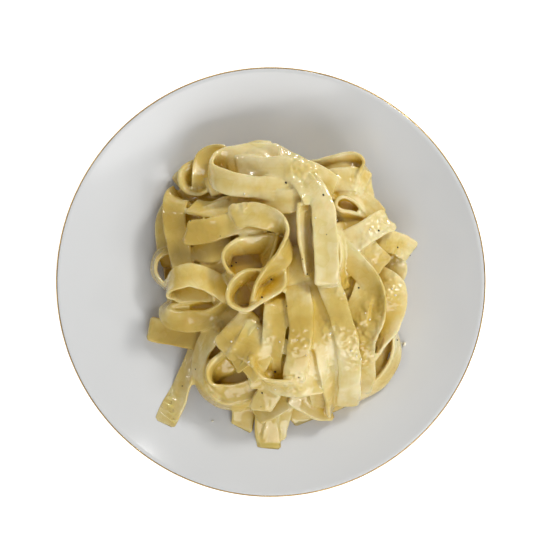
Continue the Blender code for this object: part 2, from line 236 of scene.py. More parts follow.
BACK = {
    "back_edge": [(-27, 54.7, 24, -20), (-18, 57.3, 26.5, -30), (-8, 59, 27, -32), (1, 58.7, 26.5, -32),
                  (9, 54.9, 26.5, -28), (17, 49.8, 26, -20)],
    "back_strip": [(-20, 52, 30, -8), (-12, 55.2, 33.5, -14), (-5, 58.6, 34, -16), (2, 60.4, 32, -16)],
    "back_knob": [(-13, 57.5, 22, -20), (-4.5, 61, 24, -28), (3, 57.5, 23, -20)],
    "back_loop": [(17, 50.5, 26, 10), (22, 51.7, 27.5, 35), (28, 54, 29, 48), (34, 55.8, 30, 52),
                  (39, 56.3, 30.5, 62), (42.3, 54.5, 31, 88), (42.5, 49.5, 31, 125), (42, 43.5, 30.5, 145),
                  (43, 37.5, 29.5, 155), (45.5, 31.5, 28, 165), (47.5, 25, 25, 170)],
    "back_shelf": [(22, 43.5, 34, 0), (30, 46.5, 35, 0), (38, 47, 34, -4), (44, 45, 30, -10)],
    "back_step": [(25, 51, 29, -10), (33, 50.8, 31, -12), (41, 49.5, 30, -12)],
    "little_eye": [(50, 29, 29, 30), (46, 33.5, 31, 38), (40, 38.5, 33, 42), (34.5, 40, 34, 60),
                   (30.5, 38.5, 34.5, 80), (29.3, 35, 34.3, 88), (31.5, 31.5, 34, 72), (36, 29.5, 33, 58),
                   (40, 27, 31, 45)],
    "right_fold": [(34, 31, 32.5, 5), (37.5, 26, 33.8, 5), (41, 20, 34, 0)],
}

RIGHT = {
    "right_knot": [(29.5, 27, 38, -50), (32, 20, 39, -66), (33, 12, 39.3, -72), (32, 4, 38, -65),
                   (33, -4, 36, -50)],
    "right_shelf": [(31, 17, 37, 0), (36.6, 19, 39, 0), (43, 22.5, 39.5, 0), (49, 26, 37.5, -4),
                    (54.5, 28.5, 33, -10)],
    "right_end": [(46, 20, 32.5, 0), (53, 19, 31, 0), (59.5, 16.8, 27, 0), (65.5, 13.8, 21, 0)],
    "right_low": [(38, 21, 35.5, 0), (43, 15.5, 37, 0), (47.5, 11, 36.5, 0), (52, 7, 32.5, 0)],
    "right_tuck": [(50, 16, 22, 0), (55.5, 11.5, 22.5, 0), (58, 5.5, 21, 0), (54, -2, 20, 0)],
    "right_sweep": [(28, 20.5, 38, 0), (32.5, 14.5, 38.3, 15), (37.5, 9, 38.3, 22), (42.8, 3.8, 38.2, 26),
                    (46.8, -2.5, 38, 30), (48.4, -10, 37.5, 34), (46.4, -18.3, 36, 28), (42.8, -26, 34, 12),
                    (42.4, -34, 30.5, 0), (43, -43, 25, -5), (41, -51.5, 17, -15)],
    "inner_fold": [(46, 2.5, 34, 0), (42.5, -4, 35.8, 10), (40, -11, 36.4, 10), (38, -18, 35.5, 0)],
    "right_knob": [(47, 3, 26, 0), (53.5, 0.5, 29.5, -8), (57.3, -4.5, 30.5, -16), (56.8, -11, 30, -10),
                   (54.3, -18, 29, 15), (50.6, -25.5, 27.5, 45), (46.5, -32, 25, 50), (41, -37, 22, 30)],
    "right_ring": [(49, -9, 20, 60), (55.5, -17.5, 19, 92), (58.2, -27, 18, 110), (57.7, -36.5, 17, 116),
                   (53, -45, 16, 124), (45.5, -50.8, 15, 130), (37, -55, 13.5, 130), (27.5, -59, 12, 130),
                   (17, -61.5, 10.5, 140), (8, -63.5, 9.5, 155)],
}

FRONT = {
    "torn_upper": [(-8, -13.5, 33, 0), (-13, -20, 35, 5), (-18.5, -26.5, 34, 5), (-23, -30.5, 31, 0)],
    "torn_middle": [(-6, -18, 34.5, 0), (-9, -26, 36, 0), (-13, -33, 35, 0), (-17.5, -37.5, 32, 0)],
    "torn_lower": [(-4, -30, 35, 0), (-7, -37, 35, -5), (-11.5, -42.5, 32, -10)],
    "torn_flap": [(-2, -37, 31, 0), (-5, -43, 31, 0), (-4, -49, 28, 0)],
    "ring_outer": [(-24, -20, 24, 20), (-29.5, -27.5, 22.5, 38), (-33, -36.5, 20.5, 50),
                   (-33.2, -45, 19.5, 58), (-30, -52.3, 18.5, 66), (-24.3, -56.6, 17.5, 70),
                   (-16.5, -57.6, 17, 68), (-8, -55.5, 16, 55)],
    "ring_inner": [(-15, -31, 24, 100), (-22, -34, 24.5, 104), (-27.3, -40, 24, 104), (-28, -46.5, 23, 80),
                   (-23.5, -51, 22.5, 42), (-15.5, -51, 23, 22), (-6, -48.3, 24.5, 18)],
    "ring_chip": [(-30, -44, 19.5, 20), (-25, -40, 21.5, 25), (-18, -37, 23, 20)],
    "tongue": [(2, -45, 28.5, 0), (-1, -51, 28, 0), (-5.2, -59.5, 24.5, 0)],
    "front_end": [(4, -48, 20, 0), (0, -56, 18.5, 6), (-2, -65, 14, 8), (-0.6, -78.2, 9.7, 0)],
    "front_end_fold": [(9, -50, 19.5, -6), (5, -58, 17.5, -12), (2.6, -66, 13.2, -14),
                       (1.2, -75, 10.3, -8)],
    "front_cross": [(9, -52.5, 22, 0), (4, -56, 20.5, 5), (-2, -59, 18.5, 8), (-8, -61.5, 15.5, 5)],
    "front_stub": [(-9, -51, 13, 0), (-12.5, -60, 11, 0), (-14, -69, 9.3, 0)],
    "front_right": [(10, -50, 24, 0), (15, -54.5, 21.5, 8), (22, -58.4, 17.5, 12), (29, -60.2, 12.5, 5)],
}

# Noodles that lie under the others, in the same terms: floors and shelves under gaps, and the flanks
HIDDEN = {
    "eye_floor": [(-24, 6, 27, 5), (-16, 8, 28.5, 5), (-8, 9.3, 29, 5), (0, 10.5, 29, 5), (6, 12, 28.5, 5)],
    "ring_floor": [(-20, -6, 27.5, 0), (-13, -5, 29.5, 0), (-6, -3, 30, 0), (2, 0, 29, 0)],
    "slit_floor": [(8, 33, 29, 0), (9.5, 22, 28.5, 0), (12.5, 12, 31, 0), (16, 4.5, 35, 0),
                   (17.5, -2, 36.5, 0)],
    "centre_drop": [(8, 15, 33, 0), (10.5, 8, 36, 0), (12.5, 2, 37, 0), (14, -5, 35, 0)],
    "fold_floor": [(20, -20, 38, 0), (20.2, -30, 36.8, 0), (20.5, -40, 33.5, 0), (22.5, -50, 26, 0),
                   (25, -58, 16, 0)],
    "gap_floor": [(6, -12, 36.5, 0), (6.5, -20, 37, 0), (6.5, -30, 35.5, 0), (5, -40, 31.5, 0),
                  (4, -48, 26, 0)],
    "front_floor": [(-14, -42, 17, 0), (-2, -45, 19, 0), (10, -48, 18, 0), (22, -50, 15, 0)],
    "right_floor": [(36, 24, 24, 0), (42, 10, 26, 0), (45, -5, 25, 0), (43, -20, 22, 0), (38, -34, 18, 0)],
    "right_inside": [(28, 10, 31, 0), (34, 2, 32, 0), (39, -8, 32, 0), (42, -20, 29, 0)],
    "right_base": [(50, 26, 15, -35), (55, 12, 16, -35), (55, -3, 15.5, -35), (51, -16, 15, -35),
                   (46, -27, 15, -35), (38, -40, 14, -35), (28, -50, 12, -35)],
    "back_floor": [(-20, 50, 22, -25), (-5, 53, 24, -25), (10, 50, 25, -25), (25, 42, 25, -25)],
    "back_base": [(-34, 50, 12, -35), (-22, 57, 14, -35), (-8, 59, 16, -35), (6, 56, 18, -35),
                  (20, 49, 20, -35), (34, 44, 20, -35), (42, 36, 20, -35), (46, 26, 18, -35)],
    "back_inside": [(-30, 44, 25, -20), (-18, 47, 29, -20), (-4, 50, 31, -20), (10, 48, 33, -20),
                    (22, 40, 33, -20)],
    "cup_floor": [(-43, 44, 11.5, 0), (-38, 49, 13, 0), (-31, 53, 15, 0), (-22, 55, 18, 0)],
    "eye_base": [(24, 36, 32.5, 0), (32, 36, 33, 0), (40, 34, 31, 0), (48, 30, 26, 0)],
    "corner_floor": [(-45, 36, 12, 0), (-39, 38.5, 16, 0), (-31, 39.5, 20, 0), (-22, 40.5, 25, 0)],
    "left_floor": [(-34, 30, 20, 0), (-35, 18, 20, 0), (-33, 5, 20, 0), (-30, -8, 18, 0)],
    "left_base": [(-41, 40, 11, 35), (-46, 28, 11, 35), (-46, 14, 10.5, 35), (-45, 0, 11, 35),
                  (-43, -13, 11.5, 35), (-37, -26, 12, 35), (-29, -38, 12.5, 35), (-20, -48, 12.5, 35)],
    "mouth_floor": [(-47, -4, 17, 0), (-38, -6, 19.5, 0), (-28, -8, 21, 0), (-18, -10, 23, 0)],
    "brown_gap": [(-40, 36, 20, 0), (-36, 31, 22, 0), (-33, 25, 24, 0), (-31, 17, 25, 0)],
    "ring_base": [(-30, -46, 14.5, 0), (-24, -42, 18, 0), (-15, -43, 20, 0), (-6, -47, 20, 0)],
    "back_flank": [(-30, 48, 14, -45), (-18, 52, 16, -50), (-4, 54, 18, -50), (8, 51, 19, -50),
                   (20, 45, 20, -50), (30, 42, 20, -50), (40, 38, 19, -45)],
    "back_flank_high": [(-22, 47, 25, -45), (-5, 51, 27, -50), (8, 48, 28.5, -50), (20, 41, 29, -50),
                        (32, 35, 28, -45)],
    "right_flank": [(45, 32, 16, -45), (51, 22, 16.5, -50), (51, 10, 17, -50), (50.5, -4, 17, -50),
                    (49, -16, 17, -50), (43, -28, 16, -45)],
    "right_flank_high": [(38, 27, 27, -45), (42, 14, 29, -50), (43, 2, 29, -50), (43, -10, 28, -50),
                         (41, -22, 26, -45)],
    "left_flank": [(-36, -20, 14, -45), (-42, -8, 15.5, -50), (-42, 5, 17, -50), (-41, 18, 18, -50),
                   (-39, 31, 17, -45)],
    "front_flank": [(-27, -39, 14, 45), (-15, -46, 15, 50), (0, -47, 17, 50), (14, -46, 17, 50),
                    (28, -43, 16, 50), (39, -35, 15, 45)],
    "mouth_shelf": [(-47, -9.5, 21.5, 0), (-38, -11, 22.5, 0), (-28, -10.5, 23.5, 0), (-20, -9, 24, 0)],
    "cup_shelf": [(-42, 51.5, 18, 0), (-36.5, 48, 19, 0), (-30, 45, 21, 0), (-24, 43, 24, 0)],
    "leaf_shelf": [(-41, 31, 23, 0), (-34, 30.5, 25.5, 0), (-26, 31, 28.5, 0), (-18, 32, 30, 0)],
    "ring_gap": [(-25, -24, 22, 0), (-27, -32, 20.5, 0), (-26, -40, 18.5, 0)],
    "ring_shelf": [(53, -20, 16.5, 0), (51, -29, 16.5, 0), (47.5, -38, 16, 0), (41, -46, 14, 0)],
    "fold_shelf": [(37.5, -9, 33.5, 0), (38.7, -15, 34, 0), (39.7, -21.5, 33.5, 0), (41, -29, 31, 0)],
    "twist_shelf": [(-8, -5, 32, 0), (-2, -0.5, 34.2, 0), (4, 4, 34.8, 0), (8, 9, 34, 0)],
}

# How creamy (+) or golden (-) the heap is round a place, in mm: x, y, reach and shift. Partly the sauce's
# own tone,
# partly painted light and shade: creamy shifts paint lit tops such as the crest paler, golden shifts paint
# shaded sides and folds such as the left band darker.
TONE_AND_SHADE_PATCHES = [(25, 22, 13, 0.4), (48, 24, 11, 0.25), (5, 60, 14, 0.35), (36, -46, 10, 0.3), (-12, 46, 10, 0.1),
         (-36, 6, 7, 0.05), (-2, -20, 7, 0.1), (58, -28, 8, 0.3), (-30, 22, 9, -0.55), (-44, 20, 9, -0.55),
         (12.5, -20, 9, -0.6), (48, -8, 9, -0.2), (30, -12, 6, -0.2), (-14, -30, 9, -0.4),
         (-35, -17, 10, -0.5), (-5, 12, 9, -0.3), (6, 10, 5, -0.2), (-10, -3, 6, -0.2), (54, 13, 4, -0.4),
         (-26, -42, 7, -0.3), (-50, 30, 6, -0.3), (-46, -26, 9, -0.35), (-1, -70, 8, -0.25),
         (-17, -51, 6, -0.2)]

# Where the sauce is lumpy, in mm: x, y and reach
LUMPS = [(41, -30, 7), (45, -13, 5), (57, -4, 6), (47, 18, 7), (60, 14, 5), (33, -4, 4), (40, 46, 5),
         (14, 51, 7), (-24, -20, 3), (12, -26, 6), (42, -22, 4), (27, -22, 4), (48, -26, 4), (10, -48, 5),
         (-14, 35, 4), (-40, 54, 4), (-3, -22, 4), (51, 26, 4)]

# Grains on top, in mm: x, y and radius
PEPPER = [(6.8, 45, 0.45), (23.6, 39.3, 0.42), (49, 23.5, 0.42), (0.2, 1.3, 0.4), (-4, -6.8, 0.5),
          (2, -41, 0.5), (12.7, -43.3, 0.3), (16.5, 3.7, 0.32), (7.3, -10.7, 0.3), (14.3, 10.5, 0.28),
          (-18, 7.5, 0.35), (-16, 9, 0.28), (-4, -51, 0.42), (65.5, 12.5, 0.38), (58.3, 16, 0.32),
          (40, -2.5, 0.35), (58.7, -27, 0.35), (57.5, -40, 0.25), (-36.5, 28, 0.22), (-35, -40.5, 0.28),
          (-41.5, -48.8, 0.28), (25, 21.5, 0.22), (-4.6, -57.5, 0.2), (-23, 21, 0.2), (30, 49, 0.2)]
CRUMBS = [(62.8, -29.3, 0.85), (61.6, -28.8, 0.35), (-27.5, -65.5, 0.5), (-12, 40, 0.4), (4, -27, 0.45),
          (-6, -21, 0.4), (20, 29, 0.35), (27, -23, 0.45), (43, -14, 0.5), (45, -17, 0.55), (41, -35, 0.6),
          (39, -33.5, 0.45), (36.5, -31, 0.5), (57, -6, 0.5), (55.5, -3, 0.5), (33, -5, 0.4),
          (-10, -36, 0.5), (-18, -27, 0.45), (12, -26, 0.35), (16, -33, 0.35), (2, -49, 0.4), (45, 24, 0.4)]


# Shapes


def plate_top(radius):
    """Height of the plate's upper face."""
    share = np.clip((radius - WELL_RADIUS) / (PLATE_RADIUS - WELL_RADIUS), 0, 1)
    return WELL_TOP + (RIM_HEIGHT - WELL_TOP) * share**SIDE_RISE


def above_plate(places, gap):
    """Lifts the places that lie less than gap above the plate."""
    floor = plate_top(np.hypot(places[:, 0], places[:, 1])) + gap
    places[:, 2] = np.maximum(places[:, 2], floor)


def vert_array(mesh, attribute="co"):
    """The vertices' places, or another attribute of three numbers, one row for each."""
    out = np.empty(len(mesh.vertices) * 3, np.float32)
    mesh.vertices.foreach_get(attribute, out)
    return out.reshape(-1, 3).astype(float)


def linked(name, mesh):
    obj = bpy.data.objects.new(name, mesh)
    bpy.context.scene.collection.objects.link(obj)
    return obj


def mesh_object(name, verts, faces, smooth=True):
    mesh = bpy.data.meshes.new(name)
    mesh.from_pydata([tuple(v) for v in verts], [], faces)
    mesh.validate()
    if smooth:
        mesh.shade_smooth()
    return linked(name, mesh)


def bmesh_object(name, bm):
    """A smooth-shaded object of the bmesh, which is freed."""
    mesh = bpy.data.meshes.new(name)
    bm.to_mesh(mesh)
    bm.free()
    mesh.shade_smooth()
    return linked(name, mesh)


def smooth_route(points):
    """Evenly spaced rows of x, y, z in metres and roll in radians, on a smooth curve through the points."""
    knots = np.array(points, float) * (MM, MM, MM, math.pi / 180)
    padded = np.vstack([2 * knots[0] - knots[1], knots, 2 * knots[-1] - knots[-2]])
    rows = []
    for a, b, c, d in zip(padded, padded[1:], padded[2:], padded[3:]):
        for t in np.arange(CURVE_STEPS) / CURVE_STEPS:
            rows.append(0.5 * (2 * b + (c - a) * t + (2 * a - 5 * b + 4 * c - d) * t**2
                               + (3 * b - a - 3 * c + d) * t**3))
    rows = np.array(rows + [knots[-1]])
    for _ in range(ROUTE_PASSES):
        rows[1:-1] = (rows[:-2] + 2 * rows[1:-1] + rows[2:]) / 4
    along = np.concatenate([[0], np.cumsum(np.linalg.norm(np.diff(rows[:, :3], axis=0), axis=1))])
    even = np.linspace(0, along[-1], 2 + round(along[-1] / ROW_SPACING))
    return np.column_stack([np.interp(even, along, rows[:, i]) for i in range(4)]), even


def directions(rows):
    """Unit vectors along the route, to its left on the level, and up across both."""
    tangent = np.gradient(rows[:, :3], axis=0)
    tangent /= np.linalg.norm(tangent, axis=1)[:, None]
    left = np.cross((0, 0, 1), tangent)
    left /= np.maximum(np.linalg.norm(left, axis=1), 1e-9)[:, None]
    return tangent, left, np.cross(tangent, left)


def noodle_section():
    """(u, v) round a noodle's section: u from -1 to 1 across it, v through it, rounded at its edges."""
    across = np.linspace(-FACE_SHARE, FACE_SHARE, FACE_POINTS)
    edge = [(math.cos(a), math.sin(a)) for a in np.radians([60, 30, 0, -30, -60])]
    section = [(u, 1.0) for u in across]
    section += [(FACE_SHARE + (1 - FACE_SHARE) * c, s) for c, s in edge]
    section += [(u, -1.0) for u in across[::-1]]
    section += [(-FACE_SHARE - (1 - FACE_SHARE) * c, -s) for c, s in edge]
    return np.array(section)


SECTION = noodle_section()


def tube_faces(rings, n):
    """Faces of a tube of rings of n points each, with both its ends closed."""
    faces = []
    for a in range(0, (rings - 1) * n, n):
        b = a + n
        faces += [(b + k, b + (k + 1) % n, a + (k + 1) % n, a + k) for k in range(n)]
    faces.append(tuple(range(n)))
    faces.append(tuple((rings - 1) * n + k for k in range(n))[::-1])
    return faces


def sweep_noodle(points, seed):
    """Vertices and faces of one noodle, and how near each vertex is to its edges or ends, from 0 to 1.

    Its width, cupping and edges vary along it, as seed says.
    """
    draw = random.Random(seed)
    rows, along = smooth_route(points)
    length = along[-1]
    tangent, left, up = directions(rows)

    def wave(amount, scale):
        """A slow random curve along the noodle, mostly between -amount and amount."""
        start = draw.uniform(0, 100)
        return amount * np.array([noise.noise((start + s / scale, seed * 1.7, 0)) for s in along]) * 1.6

    roll = rows[:, 3] + wave(*ROLL_WANDER)
    cos, sin = np.cos(roll)[:, None], np.sin(roll)[:, None]
    side = cos * left + sin * up
    face = cos * up - sin * left
    width = NOODLE_WIDTH / 2 * (1 + wave(*WIDTH_WANDER))
    cup = wave(*CUP_WANDER) + draw.uniform(0, CUP_MOST)
    edge_left = wave(*EDGE_WANDER)
    edge_right = wave(*EDGE_WANDER)
    ripple = wave(*RIPPLE)

    ends = np.minimum(along, length - along)
    taper = np.sqrt(np.clip(ends / END_TAPER, 0.02, 1))
    end_radius = draw.uniform(*END_RADIUS)
    inset = np.clip(end_radius - ends, 0, end_radius)
    corner = end_radius - np.sqrt(end_radius**2 - inset**2)
    skew = draw.uniform(-1, 1) * END_SKEW * np.exp(-ends / SKEW_REACH)

    u, v = SECTION[:, 0], SECTION[:, 1]
    rings = []
    for i in range(len(rows)):
        half = width[i] + np.where(u > 0, edge_left[i], edge_right[i]) * np.abs(u) - corner[i]
        thick = NOODLE_THICKNESS / 2 * taper[i] * (1 - EDGE_THINNING * np.abs(u) ** 3)
        lift = cup[i] * (u**2 - 0.35) + ripple[i] * u
        rings.append(rows[i, :3] + np.outer(half * u, side[i]) + np.outer(thick * v + lift, face[i])
                     + np.outer(skew[i] * u, tangent[i]))
    verts = np.vstack(rings)
    above_plate(verts, REST_GAP)
    near_end = np.clip(1 - ends / END_PALENESS, 0, 1)
    edge = np.maximum(np.tile(np.abs(u), len(rows)), np.repeat(near_end, len(u)))
    return verts, tube_faces(len(rows), len(u)), edge


def fade(places, x, y, reach):
    """1 at x, y (in mm) and less further off, seen from above."""
    far = (places[:, 0] - x * MM) ** 2 + (places[:, 1] - y * MM) ** 2
    return np.exp(-far / (reach * MM) ** 2)


def lumpiness(places):
    return np.clip(sum(fade(places, *lump) for lump in LUMPS), 0, 1)


def set_tint(mesh, edge):
    """A vertex colour: red is 1 at a noodle's edges, green is how creamy the place is, with painted light
    and shade mixed in, and blue how lumpy it is.
    """
    places = vert_array(mesh)
    tone_and_shade = 0.5 + sum(shift * fade(places, x, y, reach) for x, y, reach, shift in TONE_AND_SHADE_PATCHES)
    values = np.column_stack([edge, np.clip(tone_and_shade, 0, 1), lumpiness(places), np.ones(len(places))])
    tint = mesh.color_attributes.new("tint", "FLOAT_COLOR", "POINT")
    tint.data.foreach_set("color", values.ravel().astype(np.float32))


def edge_array(mesh):
    """The red of each vertex's tint."""
    out = np.empty(len(mesh.vertices) * 4, np.float32)
    mesh.color_attributes["tint"].data.foreach_get("color", out)
    return out[::4].astype(float)


def lay(name, routes, first_seed):
    """One object of all the noodles in routes."""
    verts, faces, edges, count = [], [], [], 0
    for i, points in enumerate(routes.values()):
        new_verts, new_faces, edge = sweep_noodle(points, first_seed + i)
        verts.append(new_verts)
        edges.append(edge)
        faces += [tuple(count + k for k in face) for face in new_faces]
        count += len(new_verts)
    obj = mesh_object(name, np.vstack(verts), faces)
    set_tint(obj.data, np.concatenate(edges))
    return obj


def lathe(name, profile):
    """A closed solid of revolution about Z, from a section whose two ends lie on the axis."""
    bm = bmesh.new()
    turns = [2 * math.pi * i / PLATE_SEGMENTS for i in range(PLATE_SEGMENTS)]
    rings = []
    for radius, height in profile:
        if radius == 0:
            rings.append([bm.verts.new((0, 0, height))])
        else:
            rings.append([bm.verts.new((radius * math.cos(t), radius * math.sin(t), height)) for t in turns])
    for inner, outer in zip(rings, rings[1:]):
        for i in range(PLATE_SEGMENTS):
            j = (i + 1) % PLATE_SEGMENTS
            if len(inner) == 1:
                bm.faces.new((inner[0], outer[i], outer[j]))
            elif len(outer) == 1:
                bm.faces.new((inner[j], inner[i], outer[0]))
            else:
                bm.faces.new((inner[i], outer[i], outer[j], inner[j]))
    bmesh.ops.recalc_face_normals(bm, faces=bm.faces)
    return bmesh_object(name, bm)


def ring_band(name, section):
    """A closed band of revolution whose section doesn't reach the axis."""
    n = len(section)
    verts, faces = [], []
    for i in range(PLATE_SEGMENTS):
        t = 2 * math.pi * i / PLATE_SEGMENTS
        verts += [(r * math.cos(t), r * math.sin(t), z) for r, z in section]
        a, b = i * n, (i + 1) % PLATE_SEGMENTS * n
        faces += [(a + k, b + k, b + (k + 1) % n, a + (k + 1) % n) for k in range(n)]
    return mesh_object(name, verts, faces)


# Materials


def node_material(name):
    made = bpy.data.materials.new(name)
    made.use_nodes = True
    tree = made.node_tree
    return made, tree, tree.nodes["Principled BSDF"]


def add(tree, kind, **values):
    node = tree.nodes.new(kind)
    for key, value in values.items():
        setattr(node, key, value)
    return node


def connect(tree, value, socket):
    """Links value to the socket if it is a socket too, or sets it there if it is a number or a colour."""
    if hasattr(value, "links"):
        tree.links.new(value, socket)
    else:
        socket.default_value = value


def noise_texture(tree, coords, scale, detail, roughness=0.5):
    node = add(tree, "ShaderNodeTexNoise")
    node.inputs["Scale"].default_value = scale
    node.inputs["Detail"].default_value = detail
    node.inputs["Roughness"].default_value = roughness
    tree.links.new(coords, node.inputs["Vector"])
    return node.outputs["Fac"]


def grey(level):
    return (level, level, level)


def ramp(tree, value, *stops):
    node = add(tree, "ShaderNodeValToRGB")
    ends = node.color_ramp.elements
    while len(ends) < len(stops):
        ends.new(0.5)
    for element, (position, colour) in zip(ends, stops):
        element.position = position
        element.color = (*colour, 1)
    tree.links.new(value, node.inputs["Fac"])
    return node.outputs["Color"]


def mix(tree, factor, a, b, blend="MIX"):
    node = add(tree, "ShaderNodeMix", data_type="RGBA", blend_type=blend)
    connect(tree, factor, node.inputs[0])
    connect(tree, a, node.inputs[6])
    connect(tree, b, node.inputs[7])
    return node.outputs[2]


def total(tree, value, *terms):
    """value plus each term times its weight."""
    for term, weight in terms:
        node = add(tree, "ShaderNodeMath", operation="MULTIPLY_ADD")
        tree.links.new(term, node.inputs[0])
        node.inputs[1].default_value = weight
        connect(tree, value, node.inputs[2])
        value = node.outputs[0]
    return value


def bump(tree, shader, height, distance, strength=1.0):
    node = add(tree, "ShaderNodeBump")
    node.inputs["Distance"].default_value = distance
    node.inputs["Strength"].default_value = strength
    tree.links.new(height, node.inputs["Height"])
    tree.links.new(node.outputs["Normal"], shader.inputs["Normal"])
    tree.links.new(node.outputs["Normal"], shader.inputs["Coat Normal"])


def pasta_material(name, colours, roughness):
    """Cooked noodle in cream sauce: paler at its edges and where the sauce is thick, golden in the folds.

    The paleness is partly painted light (a highlight on the rims, lit tops), the golden partly painted
    shade, and the deep creases get painted shade.
    """
    golden, face, cream, painted_crease_shade = colours
    made, tree, shader = node_material(name)
    coords = add(tree, "ShaderNodeTexCoord").outputs["Object"]
    tint = add(tree, "ShaderNodeVertexColor", layer_name="tint").outputs["Color"]
    parts = add(tree, "ShaderNodeSeparateColor")
    tree.links.new(tint, parts.inputs["Color"])
    edge, cream_and_shade, lumpy = parts.outputs["Red"], parts.outputs["Green"], parts.outputs["Blue"]

    # Painted light and shade: the edge term paints a highlight along the noodles' rims, and the tint from
    # the tone patches paints lit tops paler and shaded sides golden; the two noises are random tone.
    tone_and_shade = total(tree, -0.62, (cream_and_shade, 0.9), (edge, 0.2), (noise_texture(tree, coords, 55, 2), 0.9),
                 (noise_texture(tree, coords, 190, 2), 0.4))
    colour = ramp(tree, tone_and_shade, (0.12, golden), (0.48, face), (0.85, cream))
    # Painted shade: where ambient occlusion finds a crease, the colour turns to the dark crease colour.
    occlusion = add(tree, "ShaderNodeAmbientOcclusion", samples=12)
    occlusion.inputs["Distance"].default_value = 11 * MM
    crease_shade_mask = ramp(tree, occlusion.outputs["AO"], (0.2, grey(1)), (0.8, grey(0)))
    tree.links.new(mix(tree, crease_shade_mask, colour, (*painted_crease_shade, 1)), shader.inputs["Base Color"])

    wet = noise_texture(tree, coords, 130, 2)
    rough = ramp(tree, wet, (0.35, grey(roughness - 0.1)), (0.7, grey(roughness + 0.14)))
    tree.links.new(rough, shader.inputs["Roughness"])
    shader.inputs["IOR"].default_value = 1.42
    shader.inputs["Subsurface Weight"].default_value = 0.25
    shader.inputs["Subsurface Radius"].default_value = (1.0, 0.6, 0.2)
    shader.inputs["Subsurface Scale"].default_value = 1.5 * MM
    shader.inputs["Coat Weight"].default_value = 0.8
    shader.inputs["Coat Roughness"].default_value = 0.06

    lumps = noise_texture(tree, coords, 430, 0)
    wetness = total(tree, lumpy, (noise_texture(tree, coords, 75, 2), 1.0))
    shown = ramp(tree, wetness, (0.58, grey(0.015)), (0.95, grey(1)))
    bump(tree, shader, mix(tree, 1.0, lumps, shown, "MULTIPLY"), 0.9 * MM)
    return made


def porcelain_material():
    made, tree, shader = node_material("glazed_porcelain")
    coords = add(tree, "ShaderNodeTexCoord").outputs["Object"]
    shade = noise_texture(tree, coords, 9, 2)
    colour = ramp(tree, shade, (0.3, (0.71, 0.72, 0.725)), (0.7, (0.75, 0.76, 0.765)))
    tree.links.new(colour, shader.inputs["Base Color"])
    smears = noise_texture(tree, coords, 40, 3, 0.6)
    rough = ramp(tree, smears, (0.35, grey(0.10)), (0.75, grey(0.17)))
    tree.links.new(rough, shader.inputs["Roughness"])
    shader.inputs["IOR"].default_value = 1.5
    bump(tree, shader, noise_texture(tree, coords, 22, 1, 0.4), 0.12 * MM, 0.5)
    return made


def gilt_material():
    made, tree, shader = node_material("worn_gilt")
    coords = add(tree, "ShaderNodeTexCoord").outputs["Object"]
    wear = noise_texture(tree, coords, 60, 4, 0.7)
    colour = ramp(tree, wear, (0.3, (0.36, 0.22, 0.07)), (0.65, (0.62, 0.43, 0.17)))
    tree.links.new(colour, shader.inputs["Base Color"])
    rough = ramp(tree, wear, (0.3, grey(0.32)), (0.7, grey(0.2)))
    tree.links.new(rough, shader.inputs["Roughness"])
    shader.inputs["Metallic"].default_value = 1.0
    return made


def grain_material(name, colour, roughness):
    made, _, shader = node_material(name)
    shader.inputs["Base Color"].default_value = (*colour, 1)
    shader.inputs["Roughness"].default_value = roughness
    return made


# The camera, straight above, and the stage


def place_camera():
    camera = bpy.data.cameras.new("camera")
    camera.sensor_width = SENSOR_WIDTH
    camera.lens = SENSOR_WIDTH * (CAMERA_HEIGHT - RIM_HEIGHT) / VIEW_WIDTH
    camera.clip_end = 10
    holder = linked("camera", camera)
    holder.location = (*CAMERA_OFFSET, CAMERA_HEIGHT)
    bpy.context.scene.camera = holder


def light_stage():
    world = bpy.data.worlds.new("world")
    world.use_nodes = True
    world.node_tree.nodes["Background"].inputs["Color"].default_value = (*WHITE, 1)
    world.node_tree.nodes["Background"].inputs["Strength"].default_value = DAYLIGHT
    bpy.context.scene.world = world
    for name, place, size, power, colour in LAMPS:
        light = bpy.data.lights.new(name, "AREA")
        light.shape = "RECTANGLE"
        light.size, light.size_y = size
        light.energy = power
        light.color = colour
        lamp = linked(name, light)
        lamp.location = place
        lamp.rotation_euler = (-Vector(place)).to_track_quat("-Z", "Y").to_euler()


def make_floor():
    corners = [(-3, -3, 0), (3, -3, 0), (3, 3, 0), (-3, 3, 0)]
    floor = mesh_object("floor", corners, [(0, 1, 2, 3)], smooth=False)
    made, _, shader = node_material("pale_floor")
    shader.inputs["Base Color"].default_value = (0.93, 0.93, 0.93, 1)
    shader.inputs["Roughness"].default_value = 0.9
    shader.inputs["Emission Color"].default_value = (1, 1, 1, 1)
    shader.inputs["Emission Strength"].default_value = 0.6
    floor.data.materials.append(made)


# The plate


def lip_arc(grown, first, last, steps):
    """Points round the lip's edge, grown outward, from one angle above the level to another."""
    height = plate_top(LIP_START) - LIP_THICKNESS / 2
    reach = LIP_THICKNESS / 2 + grown
    turns = np.radians(np.linspace(first, last, steps))
    return [(LIP_START + reach * math.cos(t), height + reach * math.sin(t)) for t in turns]


def foot_profile():
    """The foot ring's section, from its outside to its inside."""
    half = [
        (0.8 * MM, PLATE_BASE - 0.1 * MM),
        (0.15 * MM, PLATE_BASE - 0.6 * MM),
        (0.0, 0.6 * MM),
        (-0.2 * MM, 0.15 * MM),
        (-0.6 * MM, 0.0),
    ]
    outside = [(FOOT_OUTSIDE + out, height) for out, height in half]
    return outside + [(FOOT_INSIDE - out, height) for out, height in reversed(half)]


